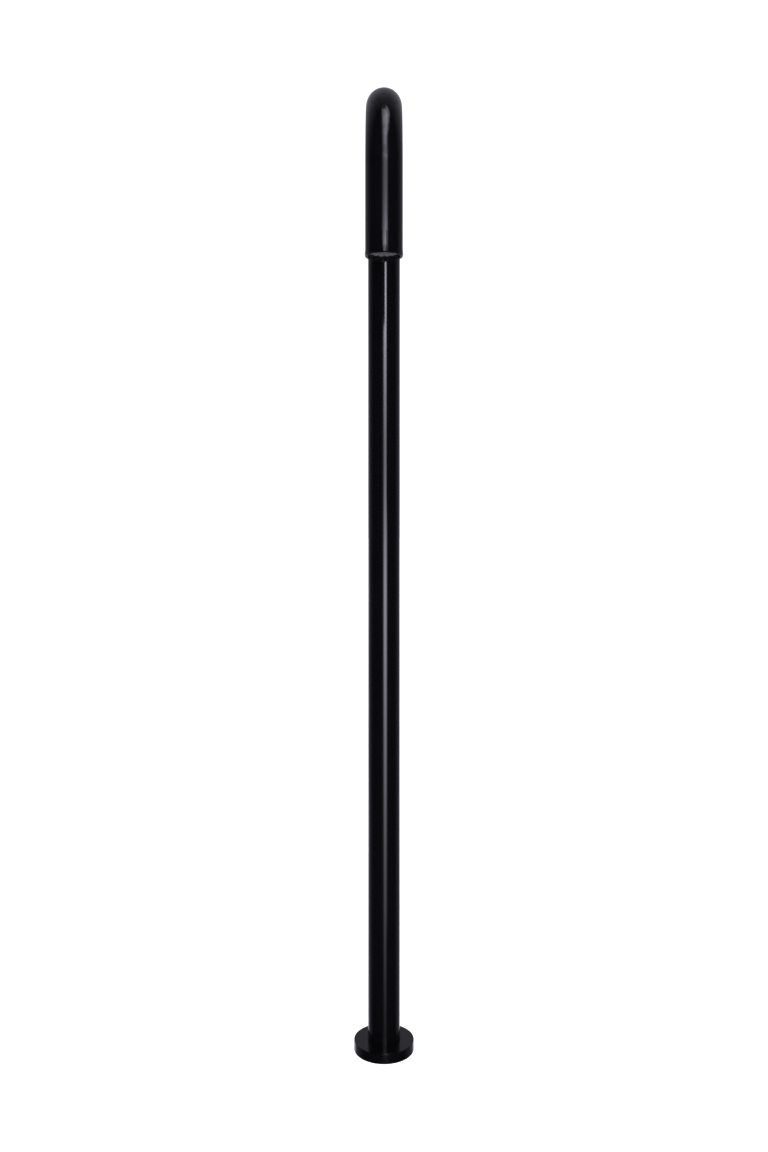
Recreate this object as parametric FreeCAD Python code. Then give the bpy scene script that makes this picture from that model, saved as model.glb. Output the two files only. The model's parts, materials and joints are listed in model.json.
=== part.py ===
import FreeCAD, Part

import math
import os

# A floor-standing bath filler: a bent round tube that stands on a floor fixing, swivels on it,
# and pours from an aerator in its short front leg.
#
# Frame, in millimetres: the origin is on the post's axis at the finished floor, +Z is up,
# and the outlet points to -Y.

V = FreeCAD.Vector
UP = V(0, 0, 1)

# ---------------------------------------------------------------- driving dimensions

# spout tube
TUBE_R = 16.0
TUBE_WALL = 1.5
POST_TOP_Z = 830.0  # where the straight post ends and the bend starts
BEND_R = 77.5  # centre line of the half-circle bend
LEG_LENGTH = 76.0  # from the bend's end down to the outlet's underside

# cover flange, which hides the floor fixing
FLANGE_R = 30.0
FLANGE_H = 10.0
FLANGE_RIM = 3.5
FLANGE_EDGE = 0.4
FLANGE_RING_SECTION_R = 0.85
FLOOR_SEAL_W = 1.9
FLOOR_SEAL_H = 1.2

# floor fixing: a plate, and a spigot through it with a threaded shank
PLATE_T = 3.5
GASKET_T = 1.0
GASKET_INSET = 1.0  # from the plate's edge to the gasket's
JOURNAL_STEP = 1.0  # from the spigot's side to the part of it that sits in the plate
SPIGOT_TOP_Z = 80.0
SPIGOT_CHAMFER = 1.0
WATERWAY_R = 7.0
SHANK_DEPTH = 45.0
INLET_THREAD_R = 10.4775  # G 1/2
INLET_THREAD_DEPTH = 1.162
INLET_PITCH = 1.814
INLET_RELIEF = 5.0

# screws into the floor
SCREW_COUNT = 4
SCREW_R = 2.25
SCREW_LENGTH = 42.0
SCREW_HEAD_R = 4.2
SCREW_HEAD_H = 2.5
SCREW_THREAD_DEPTH = 0.65
SCREW_PITCH = 2.2
SCREW_TIP = 5.0
SCREW_EDGE = 0.3  # from a head to the plate's edge
SCREW_RECESS_DEPTH = 2.0
SCREW_RECESS_R = 2.31
SCREW_RECESS_W = 1.092

# swivel
SWIVEL_LIMIT = 60.0  # degrees each way
BUSH_WALL = 2.45
BUSH_STEP = 4.0  # how far the spigot stands out of the bush
THRUST_WASHER_T = 0.5
THRUST_WASHER_EDGE = 0.5
SLIP_RING_H = 6.0
SLIP_RING_DEPTH = 1.0
SLIP_RING_INSET = 2.0  # from the bush's top to the upper slip ring
SLIP_RING_RISE = 8.0  # from the locking screw to the lower slip ring
ORING_SECTION_R = 1.05
GROOVE_ROOM = 1.3  # height of an O-ring's groove over the ring's own

# locking screw, whose dog point runs in the stop slot
LOCK_Z = 22.0
LOCK_R = 2.5  # M5
LOCK_DOG_R = 1.75
LOCK_HEX = 2.5
LOCK_HEX_DEPTH = 2.0
LOCK_SINK = 0.3
SLOT_DEPTH = 2.0

# outlet ring
OUTLET_FLARE = 0.35
OUTLET_FLARE_H = 7.0
OUTLET_BEVEL = 0.8
OUTLET_WALL = 1.95  # leaves room for an M28 x 1 aerator in this tube
MOUTH_DEPTH = 4.0
MOUTH_EDGE = 0.25
SHOULDER_T = 1.9
SHOULDER_STEP = 1.4
INSERT_H = 5.0  # how far the ring reaches up into the tube

# aerator
AERATOR_WALL = 1.35
AERATOR_PITCH = 1.0
AERATOR_THREAD_DEPTH = 0.5
AERATOR_LIP_H = 1.9
AERATOR_LIP_W = 1.1
KEY_SLOT_COUNT = 16
KEY_SLOT_W = 1.6
KEY_SLOT_H = 1.2
SEAL_T = 1.5
GRILLE_SINK = 0.4
GRILLE_T = 2.5
CELL_WIDTH = 1.7
CELL_WEB = 0.45
SCREEN_T = 0.4
SCREEN_HOLE = 1.0
SCREEN_WIRE = 0.4
SPACER_T = 0.8
STACK_RIM = 1.0
REGULATOR_T = 3.3
REGULATOR_RING_R = 0.8
CHANNEL_R = 6.4
JET_COUNT = 12
JET_R = 0.6
DOME_BRIM_T = 0.8
DOME_INSET = 1.3
DOME_RISE = 5.0
DOME_WALL = 0.7
DOME_HOLE_R = 0.5
DOME_HOLE_WEB = 0.64  # between the holes of a row, at least
DOME_ROW_PITCH = 2.0  # between rows, at least

# clearances
RUNNING = 0.05  # radial, between pieces that turn on each other
FACE_GAP = 0.05  # between flat faces that turn on each other
THREAD_GAP = 0.1  # radial, between the aerator's thread and its bore
HOLE_GAP = 0.15  # radial, around screws and shanks
SLIDING = 0.3  # between pieces that pass each other
SEAL_GAP = 0.4  # radial, between the dome filter and the seal round it
PLATE_GAP = 0.5  # radial, between the plate and the cover round it
COVER_GAP = 1.0  # between the plate and the cover above it
CUT_OVER = 0.5  # how far a cut runs past the face that it opens

# shape of a drawn thread: the share of a pitch that its crests and its roots each take
THREAD_FLAT = 0.25

# ---------------------------------------------------------------- sizes that follow

REACH = 2 * BEND_R
LEG_Y = -REACH
OUTLET_Z = POST_TOP_Z - LEG_LENGTH
TUBE_BORE_R = TUBE_R - TUBE_WALL
PLATE_TOP_Z = GASKET_T + PLATE_T
TUBE_FOOT_Z = PLATE_TOP_Z + THRUST_WASHER_T + FACE_GAP

BUSH_BORE_R = TUBE_BORE_R - BUSH_WALL
BUSH_TOP_Z = SPIGOT_TOP_Z - BUSH_STEP
SPIGOT_R = BUSH_BORE_R - RUNNING
JOURNAL_R = SPIGOT_R - JOURNAL_STEP
SLOT_FLOOR_R = SPIGOT_R - SLOT_DEPTH
SLIP_GROOVE_R = SPIGOT_R - SLIP_RING_DEPTH
ORING_GROOVE_R = SPIGOT_R - 2 * ORING_SECTION_R
LOWER_SLIP_Z = LOCK_Z + SLIP_RING_RISE
UPPER_SLIP_Z = BUSH_TOP_Z - SLIP_RING_INSET - SLIP_RING_H
SEALED_LENGTH = UPPER_SLIP_Z - LOWER_SLIP_Z - SLIP_RING_H
LOWER_ORING_Z = LOWER_SLIP_Z + SLIP_RING_H + SEALED_LENGTH / 3
UPPER_ORING_Z = UPPER_SLIP_Z - SEALED_LENGTH / 3

FLANGE_BORE_R = TUBE_R + SLIDING
FLANGE_GROOVE_R = TUBE_R + RUNNING + 2 * FLANGE_RING_SECTION_R
FLANGE_CAVITY_R = FLANGE_R - FLANGE_RIM
FLANGE_CAVITY_Z = PLATE_TOP_Z + COVER_GAP
FLANGE_RING_Z = (FLANGE_CAVITY_Z + FLANGE_H) / 2
FLOOR_SEAL_R = FLANGE_R - FLANGE_RIM / 2 - FLOOR_SEAL_W / 2

PLATE_R = FLANGE_CAVITY_R - PLATE_GAP
GASKET_R = PLATE_R - GASKET_INSET
SCREW_CIRCLE_R = PLATE_R - SCREW_EDGE - SCREW_HEAD_R
INLET_ROOT_R = INLET_THREAD_R - INLET_THREAD_DEPTH

AERATOR_BORE_R = TUBE_R - OUTLET_WALL
AERATOR_R = AERATOR_BORE_R - THREAD_GAP
AERATOR_INSIDE_R = AERATOR_R - AERATOR_WALL
AERATOR_LIP_R = AERATOR_INSIDE_R - AERATOR_LIP_W
STACK_R = AERATOR_INSIDE_R - RUNNING
DOME_R = AERATOR_LIP_R - DOME_INSET
SEAL_HOLE_R = DOME_R + SEAL_GAP
SHOULDER_R = SEAL_HOLE_R + SHOULDER_STEP
CHANNEL_W = 2 * (REGULATOR_RING_R + RUNNING) + JET_R
CHANNEL_DEPTH = 2 * (REGULATOR_RING_R + RUNNING)

# the aerator's stack, from the outlet upwards
AERATOR_Z = OUTLET_Z + MOUTH_DEPTH
GRILLE_Z = AERATOR_Z + GRILLE_SINK
LOWER_SCREEN_Z = GRILLE_Z + GRILLE_T
SPACER_Z = LOWER_SCREEN_Z + SCREEN_T
UPPER_SCREEN_Z = SPACER_Z + SPACER_T
REGULATOR_Z = UPPER_SCREEN_Z + SCREEN_T
BRIM_Z = REGULATOR_Z + REGULATOR_T
LIP_Z = BRIM_Z + DOME_BRIM_T
AERATOR_TOP_Z = LIP_Z + AERATOR_LIP_H
SEAL_Z = AERATOR_TOP_Z + FACE_GAP
SHOULDER_Z = SEAL_Z + SEAL_T + FACE_GAP
TUBE_END_Z = SHOULDER_Z + SHOULDER_T
INSERT_TOP_Z = TUBE_END_Z + INSERT_H


# ---------------------------------------------------------------- shapes


def turned(profile, y=0.0, angle=360):
    """A solid turned about the upright axis through (0, y) from a closed (radius, z) profile."""
    points = [V(r, y, z) for r, z in profile]
    face = Part.Face(Part.makePolygon(points + points[:1]))
    return face.revolve(V(0, y, 0), UP, angle)


def ring(inner_r, outer_r, z_low, z_high, y=0.0):
    """A plain ring, or a disc where the inner radius is nought."""
    disc = Part.makeCylinder(outer_r, z_high - z_low, V(0, y, z_low))
    if inner_r == 0:
        return disc
    hole = Part.makeCylinder(inner_r, z_high - z_low, V(0, y, z_low))
    return disc.cut(hole)


def round_ring(centre_r, section_r, z, y=0.0):
    """An O-ring."""
    return Part.makeTorus(centre_r, section_r, V(0, y, z), UP)


def groove_half(section_r):
    """Half the height of the groove for an O-ring, which has room to roll."""
    return GROOVE_ROOM * section_r


def thread_outline(major_r, root_r, pitch, z_low, z_high):
    """The outline, upwards, of the rings that stand in for a screw thread's turns."""
    turns = int((z_high - z_low) / pitch)
    flat = pitch * THREAD_FLAT
    slope = (pitch - 2 * flat) / 2
    outline = []
    for turn in range(turns):
        z = z_low + turn * pitch
        outline.append((major_r, z))
        outline.append((major_r, z + flat))
        outline.append((root_r, z + flat + slope))
        outline.append((root_r, z + 2 * flat + slope))
    outline.append((major_r, z_low + turns * pitch))
    return outline


def around(shape, count, start=0.0, y=0.0):
    """Copies of a shape at even turns about the upright axis through (0, y)."""
    copies = []
    for n in range(count):
        copy = shape.copy()
        copy.rotate(V(0, y, 0), UP, start + 360.0 * n / count)
        copies.append(copy)
    return copies


def grid_points(pitch_x, pitch_y, reach_r, stagger):
    """Centres of a grid of cells within a circle, every other row shifted if stagger is set."""
    points = []
    rows = int(reach_r / pitch_y) + 1
    columns = int(reach_r / pitch_x) + 1
    for row in range(-rows, rows + 1):
        shift = pitch_x / 2 if stagger and row % 2 else 0.0
        for column in range(-columns, columns + 1):
            x = column * pitch_x + shift
            y = row * pitch_y
            if math.hypot(x, y) <= reach_r:
                points.append((x, y))
    return points


def prism(sides, flat_width, z_low, height, x, y):
    """An upright bar with a regular outline, measured across its flats."""
    corner_r = flat_width / 2 / math.cos(math.pi / sides)
    corners = []
    for n in range(sides):
        angle = 2 * math.pi * (n + 0.5) / sides
        corners.append(V(x + corner_r * math.cos(angle), y + corner_r * math.sin(angle), z_low))
    return Part.Face(Part.makePolygon(corners + corners[:1])).extrude(V(0, 0, height))


# ---------------------------------------------------------------- floor fixing


def screw_places(shape):
    """Copies of a shape at the floor screws' places."""
    placed = shape.copy()
    placed.translate(V(SCREW_CIRCLE_R, 0, 0))
    return around(placed, SCREW_COUNT, start=180.0 / SCREW_COUNT)


def floor_plate():
    """Round plate that is screwed to the floor and carries the spigot."""
    plate = ring(JOURNAL_R, PLATE_R, GASKET_T, PLATE_TOP_Z)
    hole = Part.makeCylinder(SCREW_R + HOLE_GAP, PLATE_T, V(0, 0, GASKET_T))
    sink_z = PLATE_TOP_Z - SCREW_HEAD_H
    sink = Part.makeCone(SCREW_R, SCREW_HEAD_R, SCREW_HEAD_H, V(0, 0, sink_z))
    return plate.cut(screw_places(hole) + screw_places(sink))


def swivel_spigot():
    """Spigot and shank in one piece, brazed into the plate and bored through for the water."""
    thread = thread_outline(
        INLET_THREAD_R,
        INLET_ROOT_R,
        INLET_PITCH,
        INLET_THREAD_DEPTH - SHANK_DEPTH,
        -INLET_RELIEF,
    )
    thread_top = thread[-1][1]
    outline = [(WATERWAY_R, -SHANK_DEPTH), (INLET_ROOT_R, -SHANK_DEPTH)]
    outline += thread
    outline += [
        (INLET_ROOT_R, thread_top + INLET_THREAD_DEPTH),
        (INLET_ROOT_R, GASKET_T),
        (JOURNAL_R, GASKET_T),
        (JOURNAL_R, PLATE_TOP_Z),
        (SPIGOT_R, PLATE_TOP_Z),
    ]
    half = groove_half(ORING_SECTION_R)
    for low, high, floor_r in (
        (LOWER_SLIP_Z, LOWER_SLIP_Z + SLIP_RING_H, SLIP_GROOVE_R),
        (LOWER_ORING_Z - half, LOWER_ORING_Z + half, ORING_GROOVE_R),
        (UPPER_ORING_Z - half, UPPER_ORING_Z + half, ORING_GROOVE_R),
        (UPPER_SLIP_Z, UPPER_SLIP_Z + SLIP_RING_H, SLIP_GROOVE_R),
    ):
        outline += [(SPIGOT_R, low), (floor_r, low), (floor_r, high), (SPIGOT_R, high)]
    outline += [
        (SPIGOT_R, SPIGOT_TOP_Z - SPIGOT_CHAMFER),
        (SPIGOT_R - SPIGOT_CHAMFER, SPIGOT_TOP_Z),
        (WATERWAY_R, SPIGOT_TOP_Z),
    ]
    return turned(outline).cut(stop_slot())


def stop_slot():
    """The slot round the spigot's back that ends the swivel at its limits."""
    half_height = LOCK_DOG_R + SLIDING
    half_angle = SWIVEL_LIMIT + math.degrees(math.asin(half_height / SLOT_FLOOR_R))
    low = LOCK_Z - half_height
    high = LOCK_Z + half_height
    outer_r = SPIGOT_R + SLOT_DEPTH
    section = [(SLOT_FLOOR_R, low), (outer_r, low), (outer_r, high), (SLOT_FLOOR_R, high)]
    slot = turned(section, angle=2 * half_angle)
    slot.rotate(V(0, 0, 0), UP, 90 - half_angle)
    return slot


def base_gasket():
    """Sheet gasket between the plate and the floor."""
    sheet = ring(INLET_THREAD_R + HOLE_GAP, GASKET_R, 0, GASKET_T)
    hole = Part.makeCylinder(SCREW_R + HOLE_GAP, GASKET_T)
    return sheet.cut(screw_places(hole))


def floor_screw():
    """One countersunk screw on the post's axis, its thread drawn as rings."""
    head_z = PLATE_TOP_Z - SCREW_HEAD_H
    tip_z = PLATE_TOP_Z - SCREW_LENGTH
    thread_low = tip_z + SCREW_TIP
    outline = [(0, tip_z)]
    root_r = SCREW_R - SCREW_THREAD_DEPTH
    outline += thread_outline(SCREW_R, root_r, SCREW_PITCH, thread_low, -GASKET_T)
    outline += [(SCREW_R, head_z), (SCREW_HEAD_R, PLATE_TOP_Z), (0, PLATE_TOP_Z)]
    screw = turned(outline)
    length = 2 * SCREW_RECESS_R
    corner = V(-SCREW_RECESS_R, -SCREW_RECESS_W / 2, PLATE_TOP_Z - SCREW_RECESS_DEPTH)
    blade = Part.makeBox(length, SCREW_RECESS_W, SCREW_RECESS_DEPTH, corner)
    crossing = blade.copy()
    crossing.rotate(V(0, 0, 0), UP, 90)
    return screw.cut(blade.fuse(crossing))


def swivel_washer():
    """Flat washer that the spout's foot turns on."""
    outer_r = TUBE_R - THRUST_WASHER_EDGE
    return ring(SPIGOT_R + HOLE_GAP, outer_r, PLATE_TOP_Z, PLATE_TOP_Z + THRUST_WASHER_T)


def slip_ring(z):
    """Slide ring in its groove in the spigot, standing proud by part of the running gap."""
    return ring(SLIP_GROOVE_R, BUSH_BORE_R - RUNNING / 2, z, z + SLIP_RING_H)


def spigot_oring(z):
    """O-ring in its groove in the spigot."""
    return round_ring(SPIGOT_R - ORING_SECTION_R, ORING_SECTION_R, z)


# ---------------------------------------------------------------- spout


def bent_rod(radius):
    """A round bar along the spout's centre line."""
    post = Part.makeCylinder(radius, POST_TOP_Z - TUBE_FOOT_Z, V(0, 0, TUBE_FOOT_Z))
    leg = Part.makeCylinder(radius, POST_TOP_Z - TUBE_END_Z, V(0, LEG_Y, TUBE_END_Z))
    section = Part.Face(Part.Wire(Part.makeCircle(radius, V(0, 0, POST_TOP_Z), UP)))
    bend = section.revolve(V(0, -BEND_R, POST_TOP_Z), V(1, 0, 0), 180)
    return post.fuse([bend, leg])


def lock_hole():
    """The locking screw's hole, through the back of the tube and its bush."""
    length = 2 * (TUBE_R - SPIGOT_R)
    return Part.makeCylinder(LOCK_R, length, V(0, SPIGOT_R - CUT_OVER, LOCK_Z), V(0, 1, 0))


def spout_tube():
    """Post, half-circle bend and front leg, bent from one length of tube."""
    return bent_rod(TUBE_R).cut(bent_rod(TUBE_BORE_R)).cut(lock_hole())


def tube_bush():
    """Bush fixed in the tube's foot, bored to turn on the spigot."""
    return ring(BUSH_BORE_R, TUBE_BORE_R, TUBE_FOOT_Z, BUSH_TOP_Z).cut(lock_hole())


def outlet_ring():
    """Flared end ring of the front leg, bored for the aerator, with a spigot up inside the tube."""
    flared_r = TUBE_R + OUTLET_FLARE
    return turned(
        [
            (AERATOR_BORE_R + MOUTH_EDGE, OUTLET_Z),
            (flared_r - OUTLET_BEVEL, OUTLET_Z),
            (flared_r, OUTLET_Z + OUTLET_BEVEL),
            (TUBE_R, OUTLET_Z + OUTLET_FLARE_H),
            (TUBE_R, TUBE_END_Z),
            (TUBE_BORE_R, TUBE_END_Z),
            (TUBE_BORE_R, INSERT_TOP_Z),
            (SHOULDER_R, INSERT_TOP_Z),
            (SHOULDER_R, SHOULDER_Z),
            (AERATOR_BORE_R, SHOULDER_Z),
            (AERATOR_BORE_R, OUTLET_Z + MOUTH_EDGE),
        ],
        LEG_Y,
    )


def locking_screw():
    """Grub screw in the spout's back; its dog point runs in the stop slot and keeps the spout down."""
    back = V(0, 1, 0)
    dog_y = SLOT_FLOOR_R + SLIDING
    body_y = SPIGOT_R + SLIDING
    end_y = TUBE_R - LOCK_SINK
    dog = Part.makeCylinder(LOCK_DOG_R, body_y - dog_y, V(0, dog_y, LOCK_Z), back)
    body = Part.makeCylinder(LOCK_R, end_y - body_y, V(0, body_y, LOCK_Z), back)
    socket = prism(6, LOCK_HEX, 0, LOCK_HEX_DEPTH, 0, 0)
    socket.rotate(V(0, 0, 0), V(1, 0, 0), -90)
    socket.translate(V(0, end_y - LOCK_HEX_DEPTH, LOCK_Z))
    return dog.fuse(body).cut(socket)


# ---------------------------------------------------------------- aerator


def aerator_seal():
    """Flat seal between the aerator and the outlet's shoulder."""
    return ring(SEAL_HOLE_R, AERATOR_R - HOLE_GAP, SEAL_Z, SEAL_Z + SEAL_T, LEG_Y)


def aerator_body():
    """Threaded case with a slotted rim for its key and a lip over the inserts."""
    root_r = AERATOR_R - AERATOR_THREAD_DEPTH
    thread_low = AERATOR_Z + KEY_SLOT_H + AERATOR_PITCH
    outline = [(AERATOR_INSIDE_R, AERATOR_Z), (AERATOR_R, AERATOR_Z)]
    outline += thread_outline(AERATOR_R, root_r, AERATOR_PITCH, thread_low, AERATOR_TOP_Z)
    outline += [
        (root_r, AERATOR_TOP_Z),
        (AERATOR_LIP_R, AERATOR_TOP_Z),
        (AERATOR_LIP_R, LIP_Z),
        (AERATOR_INSIDE_R, LIP_Z),
    ]
    case = turned(outline, LEG_Y)
    slot = Part.makeBox(
        AERATOR_WALL + 2 * CUT_OVER,
        KEY_SLOT_W,
        KEY_SLOT_H,
        V(AERATOR_INSIDE_R - CUT_OVER, LEG_Y - KEY_SLOT_W / 2, AERATOR_Z),
    )
    return case.cut(around(slot, KEY_SLOT_COUNT, y=LEG_Y))


def pierced_disc(z, thickness, sides, hole, web):
    """A disc in the aerator's stack, pierced all over by a grid of straight holes."""
    disc = ring(0, STACK_R, z, z + thickness, LEG_Y)
    pitch = hole + web
    row_pitch = pitch * math.sin(math.pi / 3) if sides == 6 else pitch
    clear_r = STACK_R - STACK_RIM - hole / 2
    holes = []
    for x, y in grid_points(pitch, row_pitch, clear_r, sides == 6):
        holes.append(prism(sides, hole, z, thickness, x, LEG_Y + y))
    return disc.cut(Part.makeCompound(holes))


def aerator_grille():
    """The honeycomb that the water leaves through."""
    return pierced_disc(GRILLE_Z, GRILLE_T, 6, CELL_WIDTH, CELL_WEB)


def screen(z):
    """A fine screen, drawn as a grid of square holes."""
    return pierced_disc(z, SCREEN_T, 4, SCREEN_HOLE, SCREEN_WIRE)


def screen_spacer():
    """Ring that holds the two screens apart."""
    return ring(STACK_R - STACK_RIM, STACK_R, SPACER_Z, UPPER_SCREEN_Z, LEG_Y)


def flow_regulator():
    """Disc with a ring of jets and a channel for the regulating ring."""
    disc = ring(0, STACK_R, REGULATOR_Z, BRIM_Z, LEG_Y)
    channel = ring(
        CHANNEL_R - CHANNEL_W / 2,
        CHANNEL_R + CHANNEL_W / 2,
        BRIM_Z - CHANNEL_DEPTH,
        BRIM_Z,
        LEG_Y,
    )
    jet = Part.makeCylinder(JET_R, REGULATOR_T, V(CHANNEL_R, LEG_Y, REGULATOR_Z))
    return disc.cut([channel] + around(jet, JET_COUNT, y=LEG_Y))


def regulator_ring():
    """Soft ring that closes on the jets as the pressure rises."""
    z = BRIM_Z - CHANNEL_DEPTH + REGULATOR_RING_R
    return round_ring(CHANNEL_R, REGULATOR_RING_R, z, LEG_Y)


def dome_cap(base_r, rise):
    """The cap of a ball that is base_r wide at the brim's top and rises by rise."""
    ball_r = (base_r**2 + rise**2) / (2 * rise)
    centre = V(0, LEG_Y, LIP_Z + rise - ball_r)
    ball = Part.makeSphere(ball_r, centre)
    box = Part.makeBox(
        4 * base_r, 4 * base_r, 2 * rise, V(-2 * base_r, LEG_Y - 2 * base_r, LIP_Z)
    )
    return ball.common(box)


def dome_filter():
    """Domed strainer on the water's side of the aerator."""
    brim = ring(DOME_R - DOME_WALL, STACK_R, BRIM_Z, LIP_Z, LEG_Y)
    shell = dome_cap(DOME_R, DOME_RISE).cut(dome_cap(DOME_R - DOME_WALL, DOME_RISE - DOME_WALL))
    holes = []
    widest_r = DOME_R - 2 * DOME_WALL - DOME_HOLE_R
    rows = int(widest_r / DOME_ROW_PITCH)
    for row in range(1, rows + 1):
        row_r = widest_r * row / rows
        count = int(2 * math.pi * row_r / (2 * DOME_HOLE_R + DOME_HOLE_WEB))
        hole = Part.makeCylinder(DOME_HOLE_R, DOME_RISE, V(row_r, LEG_Y, LIP_Z + DOME_WALL))
        holes += around(hole, count, y=LEG_Y)
    return brim.fuse(shell.cut(holes))


# ---------------------------------------------------------------- cover


def cover_flange():
    """Round cover that lies on the floor over the plate and slides up the post."""
    half = groove_half(FLANGE_RING_SECTION_R)
    seal_outer_r = FLOOR_SEAL_R + FLOOR_SEAL_W
    return turned(
        [
            (FLANGE_CAVITY_R, 0),
            (FLOOR_SEAL_R, 0),
            (FLOOR_SEAL_R, FLOOR_SEAL_H),
            (seal_outer_r, FLOOR_SEAL_H),
            (seal_outer_r, 0),
            (FLANGE_R - FLANGE_EDGE, 0),
            (FLANGE_R, FLANGE_EDGE),
            (FLANGE_R, FLANGE_H - FLANGE_EDGE),
            (FLANGE_R - FLANGE_EDGE, FLANGE_H),
            (FLANGE_BORE_R + FLANGE_EDGE, FLANGE_H),
            (FLANGE_BORE_R, FLANGE_H - FLANGE_EDGE),
            (FLANGE_BORE_R, FLANGE_RING_Z + half),
            (FLANGE_GROOVE_R, FLANGE_RING_Z + half),
            (FLANGE_GROOVE_R, FLANGE_RING_Z - half),
            (FLANGE_BORE_R, FLANGE_RING_Z - half),
            (FLANGE_BORE_R, FLANGE_CAVITY_Z),
            (FLANGE_CAVITY_R, FLANGE_CAVITY_Z),
        ]
    )


def flange_oring():
    """O-ring in the cover's bore, which grips the post."""
    centre_r = TUBE_R + RUNNING + FLANGE_RING_SECTION_R
    return round_ring(centre_r, FLANGE_RING_SECTION_R, FLANGE_RING_Z)


def flange_floor_seal():
    """Seal let into the cover's rim, flush with it."""
    return ring(FLOOR_SEAL_R, FLOOR_SEAL_R + FLOOR_SEAL_W, 0, FLOOR_SEAL_H)


# ---------------------------------------------------------------- all pieces

pieces = {
    "floor_plate": floor_plate(),
    "swivel_spigot": swivel_spigot(),
    "base_gasket": base_gasket(),
    "floor_screws": Part.makeCompound(screw_places(floor_screw())),
    "thrust_washer": swivel_washer(),
    "lower_slip_ring": slip_ring(LOWER_SLIP_Z),
    "upper_slip_ring": slip_ring(UPPER_SLIP_Z),
    "lower_oring": spigot_oring(LOWER_ORING_Z),
    "upper_oring": spigot_oring(UPPER_ORING_Z),
    "spout_tube": spout_tube(),
    "tube_bush": tube_bush(),
    "outlet_ring": outlet_ring(),
    "locking_screw": locking_screw(),
    "aerator_seal": aerator_seal(),
    "aerator_body": aerator_body(),
    "aerator_grille": aerator_grille(),
    "lower_screen": screen(LOWER_SCREEN_Z),
    "screen_spacer": screen_spacer(),
    "upper_screen": screen(UPPER_SCREEN_Z),
    "flow_regulator": flow_regulator(),
    "regulator_ring": regulator_ring(),
    "dome_filter": dome_filter(),
    "cover_flange": cover_flange(),
    "flange_oring": flange_oring(),
    "flange_floor_seal": flange_floor_seal(),
}

os.makedirs("parts", exist_ok=True)
for name, shape in pieces.items():
    if not shape.isValid():
        raise ValueError(f"{name} is not a valid shape")
    print(f"{name}: {len(shape.Solids)} solid(s), {shape.Volume:.1f} mm3")
    shape.exportStep(f"parts/{name}.step")
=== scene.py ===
"""Bath spout: models the visible pieces of a floor-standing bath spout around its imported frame,
gives every piece its finish, and sets a plain studio round it. All lengths are in metres."""

import json
import math

import bpy
from bpy.props import FloatProperty, FloatVectorProperty, IntProperty, PointerProperty
from bpy.types import Operator, Panel, PropertyGroup
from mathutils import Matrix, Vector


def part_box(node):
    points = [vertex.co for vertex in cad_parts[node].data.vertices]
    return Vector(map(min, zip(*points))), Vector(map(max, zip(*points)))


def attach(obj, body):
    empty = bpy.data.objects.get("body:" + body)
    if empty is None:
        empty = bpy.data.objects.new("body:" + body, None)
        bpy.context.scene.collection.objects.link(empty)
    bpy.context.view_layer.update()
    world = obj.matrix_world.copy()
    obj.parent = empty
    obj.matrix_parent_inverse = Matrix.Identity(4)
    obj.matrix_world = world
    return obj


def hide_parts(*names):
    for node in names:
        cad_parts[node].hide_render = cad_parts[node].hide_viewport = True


bl_info = {
    "name": "Bath Spout",
    "version": (1, 0, 0),
    "blender": (4, 5, 0),
    "location": "View3D > Sidebar > Bath Spout",
    "description": "Models a floor-standing bath spout and its finishes",
    "category": "Add Mesh",
}

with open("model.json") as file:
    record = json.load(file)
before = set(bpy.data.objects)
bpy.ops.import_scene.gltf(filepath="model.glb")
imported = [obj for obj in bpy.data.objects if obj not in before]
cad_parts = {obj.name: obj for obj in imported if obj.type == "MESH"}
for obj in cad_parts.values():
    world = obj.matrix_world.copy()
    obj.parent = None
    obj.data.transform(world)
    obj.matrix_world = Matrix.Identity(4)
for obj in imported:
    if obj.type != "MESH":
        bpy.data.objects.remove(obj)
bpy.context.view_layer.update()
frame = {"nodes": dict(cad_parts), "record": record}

MM = 0.001

# ------------------------------------------------------------------ sizes read from the frame

TUBE_LOW, TUBE_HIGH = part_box("spout_tube")
RING_LOW, RING_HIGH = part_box("outlet_ring")
LOCK_LOW, LOCK_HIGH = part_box("locking_screw")
ORING_LOW, ORING_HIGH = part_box("flange_oring")
FLANGE_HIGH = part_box("cover_flange")[1]
FLOOR_SEAL_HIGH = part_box("flange_floor_seal")[1]
BUSH_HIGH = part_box("tube_bush")[1]
CASE_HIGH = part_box("aerator_body")[1]
AERATOR_SEAL_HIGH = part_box("aerator_seal")[1]

TUBE_RADIUS = TUBE_HIGH.x
TUBE_REACH = TUBE_HIGH.y - TUBE_LOW.y - 2 * TUBE_RADIUS
BEND_RADIUS = TUBE_REACH / 2
POST_TOP = TUBE_HIGH.z - TUBE_RADIUS - BEND_RADIUS
LEG_Y = -TUBE_REACH
INSERT_HEIGHT = 5.0 * MM  # the part of the outlet ring that sits in the tube
TUBE_END = RING_HIGH.z - INSERT_HEIGHT
POST_STEPS = 24
LEG_STEPS = 4
HOLE_STEPS = 48


# ------------------------------------------------------------------ what a user may change


class SpoutSizes(PropertyGroup):
    """Sizes of the bent tube and its outlet ring."""

    tube_radius: FloatProperty(
        name="Tube radius", description="Outside radius of the tube", default=TUBE_RADIUS,
        unit="LENGTH",
    )
    tube_wall: FloatProperty(
        name="Tube wall",
        description="Thickness of the tube's wall",
        default=TUBE_RADIUS - BUSH_HIGH.x,
        unit="LENGTH",
    )
    rim_round: FloatProperty(
        name="Rim rounding", description="Rounding of machined edges", default=0.05 * MM, unit="LENGTH"
    )
    around: IntProperty(
        name="Steps around", description="Steps round the tube and the turned pieces", default=96, min=24
    )
    along_bend: IntProperty(
        name="Steps along the bend", description="Steps along the half-circle bend", default=72, min=16
    )


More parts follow.
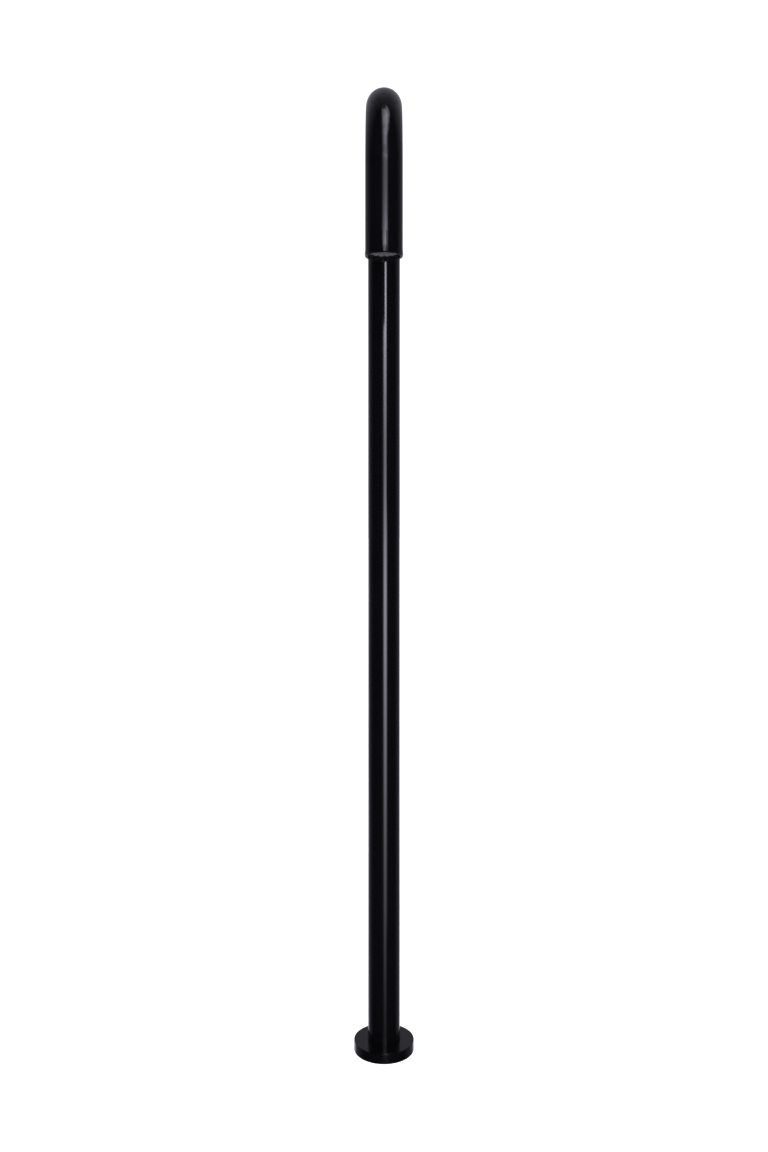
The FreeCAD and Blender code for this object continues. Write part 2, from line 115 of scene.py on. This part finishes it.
class OutletSizes(PropertyGroup):
    """Sizes of the ring that ends the front leg."""

    flare_height: FloatProperty(
        name="Flare height", description="Height over which the ring flares", default=7.0 * MM,
        unit="LENGTH",
    )
    bevel: FloatProperty(
        name="Bevel", description="Bevel round the ring's lower edge", default=0.8 * MM, unit="LENGTH"
    )
    mouth_edge: FloatProperty(
        name="Mouth edge", description="Bevel round the mouth", default=0.25 * MM, unit="LENGTH"
    )
    thread_gap: FloatProperty(
        name="Thread gap", description="Between the aerator and its bore", default=0.1 * MM, unit="LENGTH"
    )
    shoulder: FloatProperty(
        name="Shoulder bore", description="Radius of the bore over the aerator", default=12.0 * MM,
        unit="LENGTH",
    )
    seat_gap: FloatProperty(
        name="Seat gap", description="Between the aerator's seal and its seat", default=0.05 * MM,
        unit="LENGTH",
    )
    edge_round: FloatProperty(
        name="Edge rounding", description="Rounding of the ring's edges", default=0.08 * MM, unit="LENGTH"
    )


class FlangeSizes(PropertyGroup):
    """Sizes of the cover flange on the floor."""

    radius: FloatProperty(
        name="Flange radius", description="Outside radius of the cover", default=FLANGE_HIGH.x,
        unit="LENGTH",
    )
    edge_round: FloatProperty(
        name="Edge rounding", description="Rounding of the cover's top and bottom edges",
        default=0.3 * MM, unit="LENGTH",
    )
    rim: FloatProperty(
        name="Rim", description="Thickness of the wall round the cavity", default=3.5 * MM, unit="LENGTH"
    )
    cavity: FloatProperty(
        name="Cavity height", description="Height of the cavity over the plate", default=5.5 * MM,
        unit="LENGTH",
    )
    tube_gap: FloatProperty(
        name="Tube gap", description="Between the cover and the post", default=0.3 * MM, unit="LENGTH"
    )
    seal_width: FloatProperty(
        name="Seal width", description="Width of the floor seal's groove", default=1.9 * MM, unit="LENGTH"
    )
    groove_room: FloatProperty(
        name="Groove room", description="The O-ring groove's height as a share of its ring's", default=1.3
    )


class FinishSettings(PropertyGroup):
    """Colours and gloss of the finishes."""

    black: FloatVectorProperty(
        name="Black", description="Colour of the black coat", subtype="COLOR", size=3,
        default=(0.0012, 0.0012, 0.0016),
    )
    black_roughness: FloatProperty(
        name="Black roughness", description="Roughness of the black coat", default=0.14, min=0.0,
        max=1.0,
    )


class StageSettings(PropertyGroup):
    """The studio round the spout."""

    camera_distance: FloatProperty(
        name="Camera distance", description="From the post to the camera", default=0.999, unit="LENGTH"
    )
    camera_height: FloatProperty(
        name="Camera height", description="From the floor to the camera", default=0.529, unit="LENGTH"
    )
    camera_lens: FloatProperty(
        name="Camera lens", description="Focal length in millimetres", default=31.06
    )
    camera_shift: FloatProperty(
        name="Camera shift", description="Upward shift of the lens, as a share of the picture",
        default=-0.047,
    )
    strip_distance: FloatProperty(
        name="Strip distance", description="From the post to the strip lights", default=10.0,
        unit="LENGTH",
    )
    strip_width: FloatProperty(
        name="Strip width", description="Width of each light, its faded sides included", default=5.0,
        unit="LENGTH",
    )
    strip_bearing: FloatProperty(
        name="Strip bearing", description="Degrees from the camera to the front strip", default=7.0
    )
    strip_power: FloatProperty(
        name="Front strip", description="Power of the strip light in front", default=5550.0, unit="POWER"
    )
    top_power: FloatProperty(
        name="Top light", description="Power of the light overhead", default=520.0, unit="POWER"
    )
    back_power: FloatProperty(
        name="Back strips", description="Power of each strip light behind", default=430.0, unit="POWER"
    )


# ------------------------------------------------------------------ modelling helpers


def deselect_everything():
    """Leaves no object selected or active, and Blender in object mode."""
    if bpy.context.object and bpy.context.object.mode != "OBJECT":
        bpy.ops.object.mode_set(mode="OBJECT")
    bpy.ops.object.select_all(action="DESELECT")


def add_circle(name, radius, centre, steps):
    """A circle of edges, its place in its mesh, left in edit mode with all of it selected."""
    deselect_everything()
    bpy.ops.mesh.primitive_circle_add(vertices=steps, radius=radius, location=centre, fill_type="NOTHING")
    piece = bpy.context.object
    piece.name = name
    piece.data.name = name
    bpy.ops.object.transform_apply(location=True, rotation=True, scale=True)
    bpy.ops.object.mode_set(mode="EDIT")
    bpy.ops.mesh.select_all(action="SELECT")
    return piece


def extrude_ring(step, centre, scale=1.0):
    """Extrudes the selected ring by a step, then scales it about the axis through centre."""
    bpy.ops.mesh.extrude_region_move(TRANSFORM_OT_translate={"value": step})
    if scale != 1.0:
        bpy.ops.transform.resize(value=(scale, scale, 1.0), center_override=centre)


def turn_outline(name, outline, y, steps):
    """A turned piece: the closed outline of (radius, z) points goes round the upright axis at y."""
    radius, z = outline[0]
    piece = add_circle(name, radius, (0.0, y, z), steps)
    for next_radius, next_z in outline[1:] + outline[:1]:
        extrude_ring((0.0, 0.0, next_z - z), (0.0, y, next_z), next_radius / radius)
        radius, z = next_radius, next_z
    close_mesh()
    bpy.ops.object.mode_set(mode="OBJECT")
    return piece


def close_mesh():
    """Merges doubled points and turns every face outwards. It is called in edit mode."""
    bpy.ops.mesh.select_all(action="SELECT")
    bpy.ops.mesh.remove_doubles(threshold=0.001 * MM)
    bpy.ops.mesh.normals_make_consistent(inside=False)


def apply_modifier(piece, kind, **settings):
    """Adds a modifier, sets it up and applies it."""
    deselect_everything()
    piece.select_set(True)
    bpy.context.view_layer.objects.active = piece
    modifier = piece.modifiers.new(kind.title(), kind)
    for key, value in settings.items():
        setattr(modifier, key, value)
    bpy.ops.object.modifier_apply(modifier=modifier.name)


def round_edges(piece, width, segments=3, angle=25.0):
    """Rounds the edges that turn by more than an angle."""
    apply_modifier(
        piece,
        "BEVEL",
        width=width,
        segments=segments,
        limit_method="ANGLE",
        angle_limit=math.radians(angle),
    )


def cut_away(piece, cutter):
    """Cuts one mesh out of another and removes the cutter."""
    apply_modifier(piece, "BOOLEAN", operation="DIFFERENCE", solver="EXACT", object=cutter)
    bpy.data.objects.remove(cutter, do_unlink=True)


def smooth(piece, angle=35.0):
    """Smooth shading that keeps the edges that turn sharply and the long faces flat."""
    deselect_everything()
    piece.select_set(True)
    bpy.context.view_layer.objects.active = piece
    bpy.ops.object.shade_smooth_by_angle(angle=math.radians(angle))
    apply_modifier(piece, "WEIGHTED_NORMAL", mode="FACE_AREA", weight=100, thresh=0.0, keep_sharp=True)


def stand_for(piece, node, body, material):
    """Puts a finished piece in a frame node's place, on its body, with its finish."""
    piece.data.materials.clear()
    piece.data.materials.append(material)
    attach(piece, body)
    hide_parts(node)


# ------------------------------------------------------------------ finishes


class NodeSheet:
    """A material's node tree, with short ways to add and join nodes."""

    def __init__(self, name):
        self.material = bpy.data.materials.new(name)
        self.material.use_nodes = True
        self.tree = self.material.node_tree
        self.shader = self.tree.nodes["Principled BSDF"]
        self.coordinates = self.add("ShaderNodeTexCoord").outputs["Object"]

    def add(self, kind, **settings):
        """A new node, with its own settings."""
        node = self.tree.nodes.new(kind)
        for key, value in settings.items():
            setattr(node, key, value)
        return node

    def join(self, output, socket):
        self.tree.links.new(output, socket)

    def set(self, **values):
        """Numbers and colours on the shader's own sockets."""
        for key, value in values.items():
            self.shader.inputs[key.replace("_", " ")].default_value = value

    def noise(self, scale, detail=4.0, roughness=0.5, stretch=(1.0, 1.0, 1.0)):
        """Noise on object coordinates, of so many grains a metre."""
        mapping = self.add("ShaderNodeMapping")
        mapping.inputs["Scale"].default_value = stretch
        self.join(self.coordinates, mapping.inputs["Vector"])
        noise = self.add("ShaderNodeTexNoise")
        noise.inputs["Scale"].default_value = scale
        noise.inputs["Detail"].default_value = detail
        noise.inputs["Roughness"].default_value = roughness
        self.join(mapping.outputs["Vector"], noise.inputs["Vector"])
        return noise.outputs["Fac"]

    def ramp(self, value, stops):
        """A value or colour between stops of (position, colour)."""
        ramp = self.add("ShaderNodeValToRGB")
        elements = ramp.color_ramp.elements
        for element, (position, colour) in zip(elements, (stops[0], stops[-1])):
            element.position = position
            element.color = (*colour, 1.0)
        for position, colour in stops[1:-1]:
            elements.new(position).color = (*colour, 1.0)
        self.join(value, ramp.inputs["Fac"])
        return ramp.outputs["Color"]

    def between(self, value, low, high):
        """Spreads a 0 to 1 value between two numbers."""
        spread = self.add("ShaderNodeMapRange")
        spread.inputs["To Min"].default_value = low
        spread.inputs["To Max"].default_value = high
        self.join(value, spread.inputs["Value"])
        return spread.outputs["Result"]

    def mix_colours(self, factor, one, other):
        """A colour between two, which are colours or outputs."""
        mix = self.add("ShaderNodeMix", data_type="RGBA")
        for socket, value in ((mix.inputs[6], one), (mix.inputs[7], other)):
            if isinstance(value, tuple):
                socket.default_value = (*value, 1.0)
            else:
                self.join(value, socket)
        self.join(factor, mix.inputs["Factor"])
        return mix.outputs[2]

    def bump(self, height, depth, before=None):
        """Bump of a real depth, on top of an earlier bump."""
        bump = self.add("ShaderNodeBump")
        bump.inputs["Distance"].default_value = depth
        self.join(height, bump.inputs["Height"])
        if before:
            self.join(before, bump.inputs["Normal"])
        return bump.outputs["Normal"]


def turned_marks(sheet, y, per_metre):
    """Fine rings that a lathe tool leaves, round the upright axis at y."""
    mapping = sheet.add("ShaderNodeMapping")
    mapping.inputs["Location"].default_value = (0.0, -y, 0.0)
    sheet.join(sheet.coordinates, mapping.inputs["Vector"])
    wave = sheet.add("ShaderNodeTexWave", wave_type="RINGS", rings_direction="Z")
    wave.inputs["Scale"].default_value = per_metre
    wave.inputs["Distortion"].default_value = 0.4
    wave.inputs["Detail"].default_value = 2.0
    sheet.join(mapping.outputs["Vector"], wave.inputs["Vector"])
    return wave.outputs["Fac"]


def black_finish():
    """Satin black coat: deep, even, with a fine orange peel and faint wiping marks in its gloss."""
    finish = bpy.context.scene.spout_finish
    sheet = NodeSheet("satin_black_coat")
    sheet.set(Metallic=0.0, IOR=1.5, Coat_Weight=0.0)
    colour = tuple(finish.black)
    lighter = tuple(c * 1.6 for c in colour)
    cloud = sheet.noise(35.0, detail=3.0)
    sheet.join(sheet.mix_colours(cloud, colour, lighter), sheet.shader.inputs["Base Color"])
    wipes = sheet.noise(220.0, detail=5.0, stretch=(1.0, 1.0, 0.12))
    rough = finish.black_roughness
    sheet.join(sheet.between(wipes, rough * 0.9, rough * 1.12), sheet.shader.inputs["Roughness"])
    peel = sheet.bump(sheet.noise(900.0, detail=2.0), 0.0006 * MM)
    grain = sheet.bump(sheet.noise(5200.0, detail=2.0), 0.0004 * MM, peel)
    sheet.join(grain, sheet.shader.inputs["Normal"])
    return sheet.material


def brass():
    """Turned brass with tool rings and a little tarnish."""
    sheet = NodeSheet("turned_brass")
    sheet.set(Metallic=1.0)
    tarnish = sheet.noise(60.0, detail=6.0, roughness=0.6)
    colour = sheet.ramp(
        tarnish, [(0.25, (0.40, 0.25, 0.09)), (0.5, (0.66, 0.46, 0.18)), (0.8, (0.80, 0.60, 0.28))]
    )
    sheet.join(colour, sheet.shader.inputs["Base Color"])
    sheet.join(sheet.between(tarnish, 0.22, 0.42), sheet.shader.inputs["Roughness"])
    rings = sheet.bump(turned_marks(sheet, 0.0, 900.0), 0.01 * MM)
    sheet.join(rings, sheet.shader.inputs["Normal"])
    return sheet.material


def steel():
    """Stainless steel, brushed, with fine scratches."""
    sheet = NodeSheet("stainless_steel")
    sheet.set(Metallic=1.0)
    brush = sheet.noise(700.0, detail=6.0, roughness=0.7, stretch=(1.0, 1.0, 0.08))
    colour = sheet.mix_colours(brush, (0.42, 0.42, 0.43), (0.66, 0.66, 0.67))
    sheet.join(colour, sheet.shader.inputs["Base Color"])
    sheet.join(sheet.between(brush, 0.2, 0.4), sheet.shader.inputs["Roughness"])
    sheet.join(sheet.bump(brush, 0.004 * MM), sheet.shader.inputs["Normal"])
    return sheet.material


def rubber():
    """Black seal rubber with a fine matt grain."""
    sheet = NodeSheet("seal_rubber")
    grain = sheet.noise(2600.0, detail=4.0, roughness=0.65)
    bloom = sheet.noise(120.0, detail=4.0)
    colour = sheet.mix_colours(bloom, (0.010, 0.010, 0.011), (0.030, 0.030, 0.031))
    sheet.join(colour, sheet.shader.inputs["Base Color"])
    sheet.join(sheet.between(bloom, 0.6, 0.85), sheet.shader.inputs["Roughness"])
    sheet.join(sheet.bump(grain, 0.01 * MM), sheet.shader.inputs["Normal"])
    return sheet.material


def plastic(name, dark, light, roughness):
    """Moulded plastic: a faint flow pattern in its colour and a fine spark-eroded grain."""
    sheet = NodeSheet(name)
    sheet.set(IOR=1.49, Subsurface_Weight=0.05, Subsurface_Scale=0.6 * MM)
    flow = sheet.noise(180.0, detail=3.0)
    grain = sheet.noise(4200.0, detail=3.0)
    sheet.join(sheet.mix_colours(flow, dark, light), sheet.shader.inputs["Base Color"])
    spread = sheet.between(grain, roughness * 0.85, roughness * 1.15)
    sheet.join(spread, sheet.shader.inputs["Roughness"])
    sheet.join(sheet.bump(grain, 0.004 * MM), sheet.shader.inputs["Normal"])
    return sheet.material


def bearing_plastic():
    return plastic("bearing_plastic", (0.70, 0.68, 0.62), (0.82, 0.80, 0.75), 0.4)


def aerator_plastic():
    return plastic("aerator_plastic", (0.075, 0.077, 0.08), (0.10, 0.102, 0.106), 0.4)


def insert_plastic():
    return plastic("insert_plastic", (0.07, 0.17, 0.38), (0.11, 0.24, 0.50), 0.35)


FINISHES = {
    "black_finish": black_finish,
    "brass": brass,
    "steel": steel,
    "rubber": rubber,
    "bearing_plastic": bearing_plastic,
    "aerator_plastic": aerator_plastic,
    "insert_plastic": insert_plastic,
}
made_finishes = {}


def finish_for(slot):
    """The material of a slot, made the first time that it is asked for."""
    if slot not in made_finishes:
        made_finishes[slot] = FINISHES[slot]()
    return made_finishes[slot]


# ------------------------------------------------------------------ pieces


class BATHSPOUT_OT_spout_tube(Operator):
    """Models the post, bend and front leg as one tube"""

    bl_idname = "bathspout.spout_tube"
    bl_label = "Spout tube"

    def execute(self, context):
        sizes = context.scene.spout_sizes
        hole_z = (LOCK_LOW.z + LOCK_HIGH.z) / 2
        hole_radius = (LOCK_HIGH.z - LOCK_LOW.z) / 2
        foot = TUBE_LOW.z
        tube = add_circle("Spout_Tube", sizes.tube_radius, (0.0, 0.0, foot), sizes.around)
        ring_gap = 0.8 * hole_radius
        near_hole = [hole_z + n * ring_gap for n in range(-3, 4)]
        post = [POST_TOP * n / POST_STEPS for n in range(1, POST_STEPS + 1)]
        stations = sorted(z for z in near_hole + post if z > foot + hole_radius)
        z = foot
        for next_z in stations:
            extrude_ring((0.0, 0.0, next_z - z), (0.0, 0.0, next_z))
            z = next_z
        bpy.ops.mesh.spin(
            steps=sizes.along_bend,
            angle=math.pi,
            center=(0.0, -BEND_RADIUS, POST_TOP),
            axis=(-1.0, 0.0, 0.0),
        )
        for _ in range(LEG_STEPS):
            extrude_ring((0.0, 0.0, (TUBE_END - POST_TOP) / LEG_STEPS), (0.0, LEG_Y, POST_TOP))
        close_mesh()
        bpy.ops.object.mode_set(mode="OBJECT")
        apply_modifier(tube, "SOLIDIFY", thickness=sizes.tube_wall, offset=-1.0, use_rim=True)
        round_edges(tube, sizes.rim_round)
        bpy.ops.mesh.primitive_cylinder_add(
            vertices=HOLE_STEPS,
            radius=hole_radius,
            depth=2 * sizes.tube_radius,
            location=(0.0, 2 * sizes.tube_radius - 2 * sizes.tube_wall, hole_z),
            rotation=(math.pi / 2, 0.0, 0.0),
        )
        cut_away(tube, bpy.context.object)
        smooth(tube)
        stand_for(tube, "spout_tube", "spout", finish_for("black_finish"))
        return {"FINISHED"}


class BATHSPOUT_OT_outlet_ring(Operator):
    """Models the flared ring at the outlet"""

    bl_idname = "bathspout.outlet_ring"
    bl_label = "Outlet ring"

    def execute(self, context):
        sizes = context.scene.outlet_sizes
        tube = context.scene.spout_sizes
        flare = RING_HIGH.x
        tube_bore = tube.tube_radius - tube.tube_wall
        bore = CASE_HIGH.x + sizes.thread_gap
        seat = AERATOR_SEAL_HIGH.z + sizes.seat_gap
        outline = [
            (bore + sizes.mouth_edge, RING_LOW.z),
            (flare - sizes.bevel, RING_LOW.z),
            (flare, RING_LOW.z + sizes.bevel),
            (tube.tube_radius, RING_LOW.z + sizes.flare_height),
            (tube.tube_radius, TUBE_END),
            (tube_bore, TUBE_END),
            (tube_bore, RING_HIGH.z),
            (sizes.shoulder, RING_HIGH.z),
            (sizes.shoulder, seat),
            (bore, seat),
            (bore, RING_LOW.z + sizes.mouth_edge),
        ]
        ring = turn_outline("Outlet_Ring", outline, LEG_Y, tube.around)
        round_edges(ring, sizes.edge_round, segments=2)
        smooth(ring)
        stand_for(ring, "outlet_ring", "spout", finish_for("black_finish"))
        return {"FINISHED"}


class BATHSPOUT_OT_cover_flange(Operator):
    """Models the round cover on the floor"""

    bl_idname = "bathspout.cover_flange"
    bl_label = "Cover flange"

    def execute(self, context):
        sizes = context.scene.flange_sizes
        bore = context.scene.spout_sizes.tube_radius + sizes.tube_gap
        groove = ORING_HIGH.x
        half = (ORING_HIGH.z - ORING_LOW.z) / 2 * sizes.groove_room
        middle = (ORING_HIGH.z + ORING_LOW.z) / 2
        seal_outer = FLOOR_SEAL_HIGH.x
        seal_inner = seal_outer - sizes.seal_width
        seal_top = FLOOR_SEAL_HIGH.z
        cavity = sizes.radius - sizes.rim
        top = FLANGE_HIGH.z
        outline = [
            (cavity, 0.0),
            (seal_inner, 0.0),
            (seal_inner, seal_top),
            (seal_outer, seal_top),
            (seal_outer, 0.0),
            (sizes.radius, 0.0),
            (sizes.radius, top),
            (bore, top),
            (bore, middle + half),
            (groove, middle + half),
            (groove, middle - half),
            (bore, middle - half),
            (bore, sizes.cavity),
            (cavity, sizes.cavity),
        ]
        flange = turn_outline("Cover_Flange", outline, 0.0, 2 * context.scene.spout_sizes.around)
        round_edges(flange, sizes.edge_round, segments=4)
        smooth(flange, 20.0)
        stand_for(flange, "cover_flange", "cover", finish_for("black_finish"))
        return {"FINISHED"}


class BATHSPOUT_OT_carried_nodes(Operator):
    """Gives the frame's own nodes their finishes"""

    bl_idname = "bathspout.carried_nodes"
    bl_label = "Inner pieces"

    def execute(self, context):
        for part in frame["record"]["subparts"]:
            node = frame["nodes"][part["node"]]
            node.data.materials.clear()
            node.data.materials.append(finish_for(part["material_slot"]))
        return {"FINISHED"}


# ------------------------------------------------------------------ studio

# how bright each light is at shares of its length, or of its width
FRONT_GLOW = [
    (0.0, 0.004), (0.04, 0.024), (0.12, 0.14), (0.2, 0.32), (0.265, 0.53), (0.34, 0.19),
    (0.4, 0.52), (0.425, 0.9), (0.442, 0.9), (0.45, 0.5), (0.456, 0.16), (0.47, 0.08),
    (0.5, 0.13), (0.56, 0.34), (0.61, 0.16), (0.8, 0.3), (1.0, 0.2),
]
BACK_GLOW = [(0.0, 0.8), (0.3, 1.0), (0.42, 0.4), (0.46, 0.0), (1.0, 0.0)]
TOP_GLOW = [(0.0, 0.7), (0.3, 1.0), (0.75, 1.0), (0.9, 0.7), (1.0, 0.2)]
ACROSS_GLOW = [(0.0, 0.0), (0.5, 1.0), (1.0, 0.0)]
STRIP_HEIGHT = 20.0
STRIP_FOOT = -5.5
TOP_HEIGHT = 10.0
TOP_LENGTH = 7.0
TOP_FORWARD = 4.0
BACK_STRIPS = (("back_strip_right", 158.0), ("back_strip_left", -152.0))
COOL_WHITE = (0.89, 0.88, 1.0)
BACKDROP_GLOW = [(0.45, 0.005), (0.9, 0.26)]
BACKDROP_TINT = (0.97, 0.95, 1.12)
SURROUND_WHITE = (1.12, 1.12, 1.12, 1.0)
FLOOR_SIZE = 60.0


def ramp_stops(ramp, stops, tint=(1.0, 1.0, 1.0)):
    """Fills a colour ramp with stops of (position, brightness), all of one tint."""
    elements = ramp.color_ramp.elements
    for element, (position, glow) in zip(elements, (stops[0], stops[-1])):
        element.position = position
        element.color = (*(glow * c for c in tint), 1.0)
    for position, glow in stops[1:-1]:
        elements.new(position).color = (*(glow * c for c in tint), 1.0)


def add_soft_light(name, size, power, place, turn, glow):
    """A long light that fades to its sides, uneven along its length, which the camera doesn't see."""
    light = bpy.data.lights.new(name, "AREA")
    light.shape = "RECTANGLE"
    light.size, light.size_y = size
    light.energy = power
    light.color = COOL_WHITE
    lamp = bpy.data.objects.new(name, light)
    bpy.context.scene.collection.objects.link(lamp)
    lamp.location = place
    lamp.rotation_euler = turn
    lamp.visible_camera = False
    light.use_nodes = True
    tree = light.node_tree
    geometry = tree.nodes.new("ShaderNodeNewGeometry")
    parts = tree.nodes.new("ShaderNodeSeparateXYZ")
    mix = tree.nodes.new("ShaderNodeMix")
    mix.data_type = "RGBA"
    mix.blend_type = "MULTIPLY"
    mix.inputs["Factor"].default_value = 1.0
    tree.links.new(geometry.outputs["Parametric"], parts.inputs["Vector"])
    for side, stops, socket in (("X", ACROSS_GLOW, mix.inputs[6]), ("Y", glow, mix.inputs[7])):
        ramp = tree.nodes.new("ShaderNodeValToRGB")
        ramp_stops(ramp, stops)
        tree.links.new(parts.outputs[side], ramp.inputs["Fac"])
        tree.links.new(ramp.outputs["Color"], socket)
    tree.links.new(mix.outputs[2], tree.nodes["Emission"].inputs["Color"])


def add_strip(name, distance, bearing, width, power, glow):
    """A tall strip light that faces the post from a bearing, uneven along its height."""
    angle = math.radians(bearing)
    place = (distance * math.sin(angle), -distance * math.cos(angle), STRIP_FOOT + STRIP_HEIGHT / 2)
    add_soft_light(name, (width, STRIP_HEIGHT), power, place, (math.radians(90), 0.0, angle), glow)


def add_lights(settings):
    """The front strip, its softer end overhead, and two dim strips behind."""
    far = settings.strip_distance
    width = settings.strip_width
    add_strip("front_strip", far, settings.strip_bearing, width, settings.strip_power, FRONT_GLOW)
    side = far * math.sin(math.radians(settings.strip_bearing))
    top_size = (width, TOP_LENGTH)
    place = (side, -TOP_FORWARD, TOP_HEIGHT)
    add_soft_light("top_light", top_size, settings.top_power, place, (0.0, 0.0, 0.0), TOP_GLOW)
    for name, bearing in BACK_STRIPS:
        add_strip(name, far, bearing, width, settings.back_power, BACK_GLOW)


def add_world():
    """White all round; in reflections it is a backdrop behind the spout and dark in front of it."""
    world = bpy.data.worlds.new("studio")
    bpy.context.scene.world = world
    world.use_nodes = True
    world.cycles.sampling_method = "NONE"
    tree = world.node_tree
    background = tree.nodes["Background"]
    direction = tree.nodes.new("ShaderNodeTexCoord")
    parts = tree.nodes.new("ShaderNodeSeparateXYZ")
    ramp = tree.nodes.new("ShaderNodeValToRGB")
    path = tree.nodes.new("ShaderNodeLightPath")
    mix = tree.nodes.new("ShaderNodeMix")
    mix.data_type = "RGBA"
    spread = tree.nodes.new("ShaderNodeMapRange")
    spread.inputs["From Min"].default_value = -1.0
    ramp_stops(ramp, BACKDROP_GLOW, BACKDROP_TINT)
    tree.links.new(direction.outputs["Generated"], parts.inputs["Vector"])
    tree.links.new(parts.outputs["Y"], spread.inputs["Value"])
    tree.links.new(spread.outputs["Result"], ramp.inputs["Fac"])
    tree.links.new(path.outputs["Is Glossy Ray"], mix.inputs["Factor"])
    mix.inputs[6].default_value = SURROUND_WHITE
    tree.links.new(ramp.outputs["Color"], mix.inputs[7])
    tree.links.new(mix.outputs[2], background.inputs["Color"])


def add_floor():
    """A wide pale floor, out of the spout's own reflections."""
    deselect_everything()
    bpy.ops.mesh.primitive_plane_add(size=FLOOR_SIZE, location=(0.0, 0.0, 0.0))
    floor = bpy.context.object
    floor.name = "Floor"
    sheet = NodeSheet("pale_floor")
    sheet.set(Roughness=0.9, Specular_IOR_Level=0.0, Emission_Strength=0.6)
    sheet.shader.inputs["Emission Color"].default_value = (1.0, 1.0, 1.0, 1.0)
    cloud = sheet.noise(1.5, detail=2.0)
    colour = sheet.mix_colours(cloud, (0.90, 0.90, 0.90), (0.92, 0.92, 0.92))
    sheet.join(colour, sheet.shader.inputs["Base Color"])
    floor.data.materials.append(sheet.material)
    floor.visible_glossy = False
    floor.visible_shadow = False


class BATHSPOUT_OT_stage(Operator):
    """Sets the floor, the lights and the camera"""

    bl_idname = "bathspout.stage"
    bl_label = "Stage"

    def execute(self, context):
        settings = context.scene.stage_settings
        context.scene.view_settings.view_transform = "Standard"
        add_world()
        add_floor()
        add_lights(settings)
        camera = bpy.data.objects.new("Camera", bpy.data.cameras.new("Camera"))
        context.scene.collection.objects.link(camera)
        camera.location = (0.0, -settings.camera_distance, settings.camera_height)
        camera.rotation_euler = (math.radians(90), 0.0, 0.0)
        camera.data.lens = settings.camera_lens
        camera.data.sensor_width = 36.0
        camera.data.shift_y = settings.camera_shift
        context.scene.camera = camera
        return {"FINISHED"}


class BATHSPOUT_PT_panel(Panel):
    """Lists the operators in the order in which they are run"""

    bl_idname = "BATHSPOUT_PT_panel"
    bl_label = "Bath Spout"
    bl_space_type = "VIEW_3D"
    bl_region_type = "UI"
    bl_category = "Bath Spout"

    def draw(self, context):
        for operator in OPERATORS:
            self.layout.operator(operator.bl_idname)


OPERATORS = (
    BATHSPOUT_OT_stage,
    BATHSPOUT_OT_carried_nodes,
    BATHSPOUT_OT_spout_tube,
    BATHSPOUT_OT_outlet_ring,
    BATHSPOUT_OT_cover_flange,
)
SETTINGS = {
    "spout_sizes": SpoutSizes,
    "outlet_sizes": OutletSizes,
    "flange_sizes": FlangeSizes,
    "spout_finish": FinishSettings,
    "stage_settings": StageSettings,
}


def register():
    for name, group in SETTINGS.items():
        bpy.utils.register_class(group)
        setattr(bpy.types.Scene, name, PointerProperty(type=group))
    for item in (*OPERATORS, BATHSPOUT_PT_panel):
        bpy.utils.register_class(item)


def unregister():
    for item in reversed((*OPERATORS, BATHSPOUT_PT_panel)):
        bpy.utils.unregister_class(item)
    for name, group in SETTINGS.items():
        delattr(bpy.types.Scene, name)
        bpy.utils.unregister_class(group)


def main():
    register()
    bpy.ops.bathspout.stage()
    bpy.ops.bathspout.carried_nodes()
    bpy.ops.bathspout.spout_tube()
    bpy.ops.bathspout.outlet_ring()
    bpy.ops.bathspout.cover_flange()


if __name__ == "__main__":
    main()
